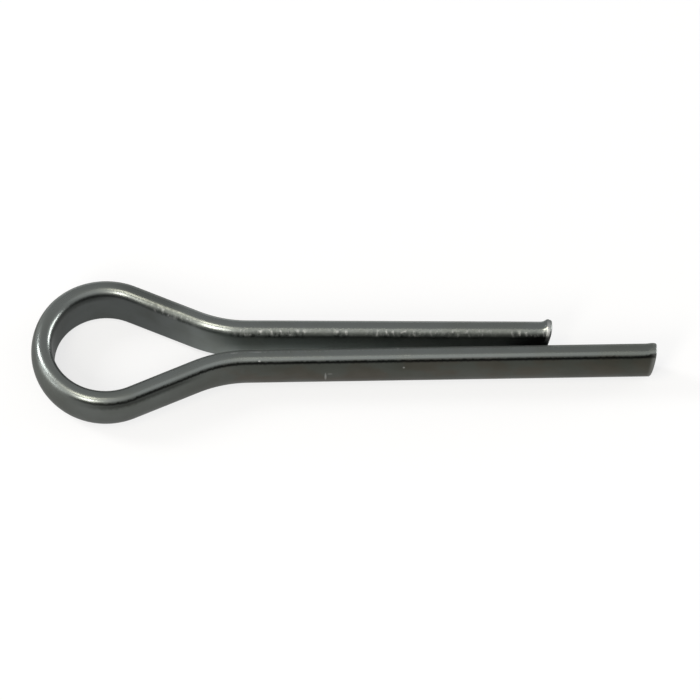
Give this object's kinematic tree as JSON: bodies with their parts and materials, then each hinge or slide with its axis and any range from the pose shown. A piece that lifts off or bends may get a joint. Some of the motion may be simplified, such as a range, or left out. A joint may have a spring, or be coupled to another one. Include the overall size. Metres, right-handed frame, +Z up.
{
  "type": "cotter pin",
  "caption": "Cotter pin of bent half-round wire with a teardrop eye and uneven legs, pushed through a cross hole and spread to lock a shaft, clevis pin or castle nut.",
  "frame": {"origin": "centre of the pin's box on the surface it lies on", "axes": "+X along the shank towards the tips, +Z up from the surface, the longer leg on the -Y side"},
  "size_m": [0.056, 0.0134, 0.0045],
  "materials": {
    "steel_wire": "bare drawn steel wire, dull grey with brighter worn edges"
  },
  "bodies": {
    "root": {"cotter_pin": "steel_wire"}
  },
  "joints": []
}
